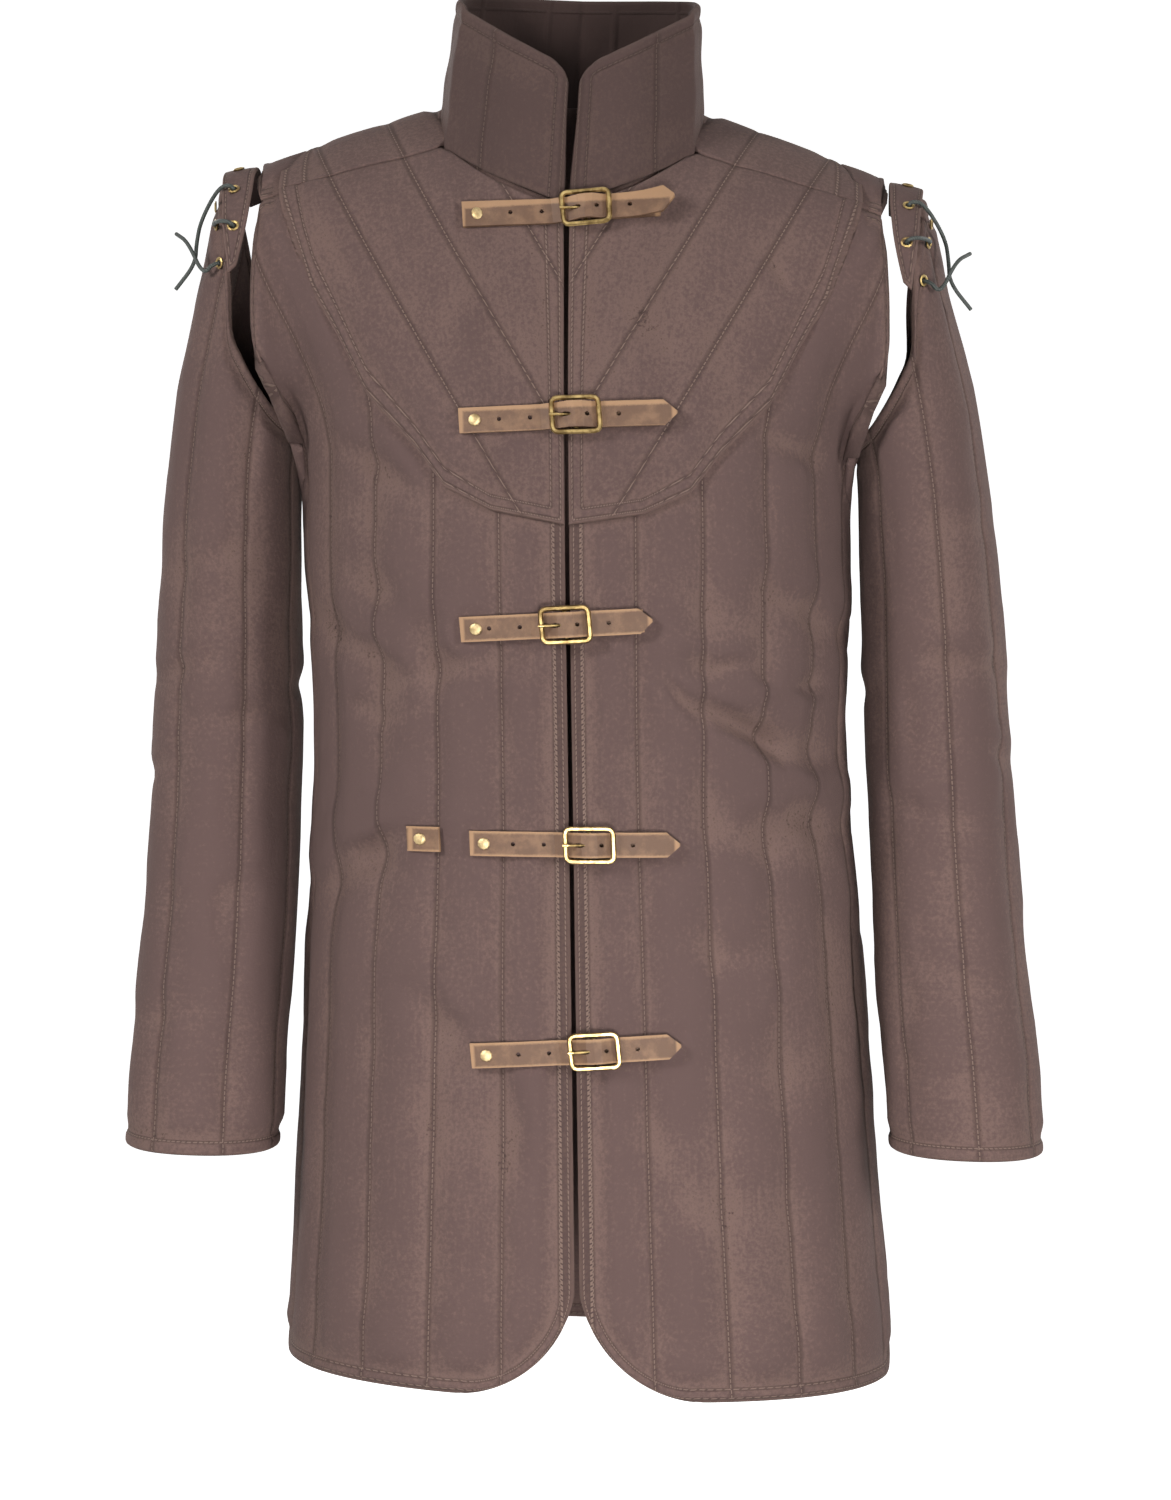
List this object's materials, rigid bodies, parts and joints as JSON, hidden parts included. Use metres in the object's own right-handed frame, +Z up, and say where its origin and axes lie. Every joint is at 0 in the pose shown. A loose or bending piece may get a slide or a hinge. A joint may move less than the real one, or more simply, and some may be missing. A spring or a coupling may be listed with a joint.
{
  "type": "gambeson",
  "caption": "Hip-length quilted canvas jacket, worn hollow: stand collar, chest mantle, laced-on sleeves, open cuffs and hem, closed at the front by straps with brass buckles.",
  "frame": {"origin": "base of the neck between the shoulders, where the wearer carries the jacket", "axes": "+Z up the worn jacket, -Y out of its front, +X to the wearer's left"},
  "size_m": [0.609, 0.2812, 0.9212],
  "materials": {
    "canvas": "matt brown cotton canvas, quilted and padded",
    "leather": "tan strap leather, smooth with pale cut edges",
    "brass": "aged brass",
    "eyelet_brass": "rolled brass eyelet, slightly dull",
    "cord": "dark green-black round cord"
  },
  "bodies": {
    "root": {"front_right": "canvas", "front_left": "canvas", "back": "canvas", "yoke_front_right": "canvas", "yoke_front_left": "canvas", "yoke_back": "canvas", "collar": "canvas", "shoulder_tab_right": "canvas", "shoulder_tab_left": "canvas", "sleeve_right": "canvas", "sleeve_left": "canvas", "strap_1": "leather", "buckle_strap_1": "leather", "buckle_1": "brass", "prong_1": "brass", "strap_rivet_1": "brass", "buckle_rivet_1": "brass", "strap_2": "leather", "buckle_strap_2": "leather", "buckle_2": "brass", "prong_2": "brass", "strap_rivet_2": "brass", "buckle_rivet_2": "brass", "strap_3": "leather", "buckle_strap_3": "leather", "buckle_3": "brass", "prong_3": "brass", "strap_rivet_3": "brass", "buckle_rivet_3": "brass", "strap_4": "leather", "buckle_strap_4": "leather", "buckle_4": "brass", "prong_4": "brass", "strap_rivet_4": "brass", "buckle_rivet_4": "brass", "strap_5": "leather", "buckle_strap_5": "leather", "buckle_5": "brass", "prong_5": "brass", "strap_rivet_5": "brass", "buckle_rivet_5": "brass", "stub_tab": "leather", "stub_rivet": "brass", "tab_eyelet_right_1": "eyelet_brass", "sleeve_eyelet_right_1": "eyelet_brass", "tab_eyelet_right_2": "eyelet_brass", "sleeve_eyelet_right_2": "eyelet_brass", "tab_eyelet_right_3": "eyelet_brass", "sleeve_eyelet_right_3": "eyelet_brass", "lace_right": "cord", "tab_eyelet_left_1": "eyelet_brass", "sleeve_eyelet_left_1": "eyelet_brass", "tab_eyelet_left_2": "eyelet_brass", "sleeve_eyelet_left_2": "eyelet_brass", "tab_eyelet_left_3": "eyelet_brass", "sleeve_eyelet_left_3": "eyelet_brass", "lace_left": "cord"}
  },
  "joints": []
}
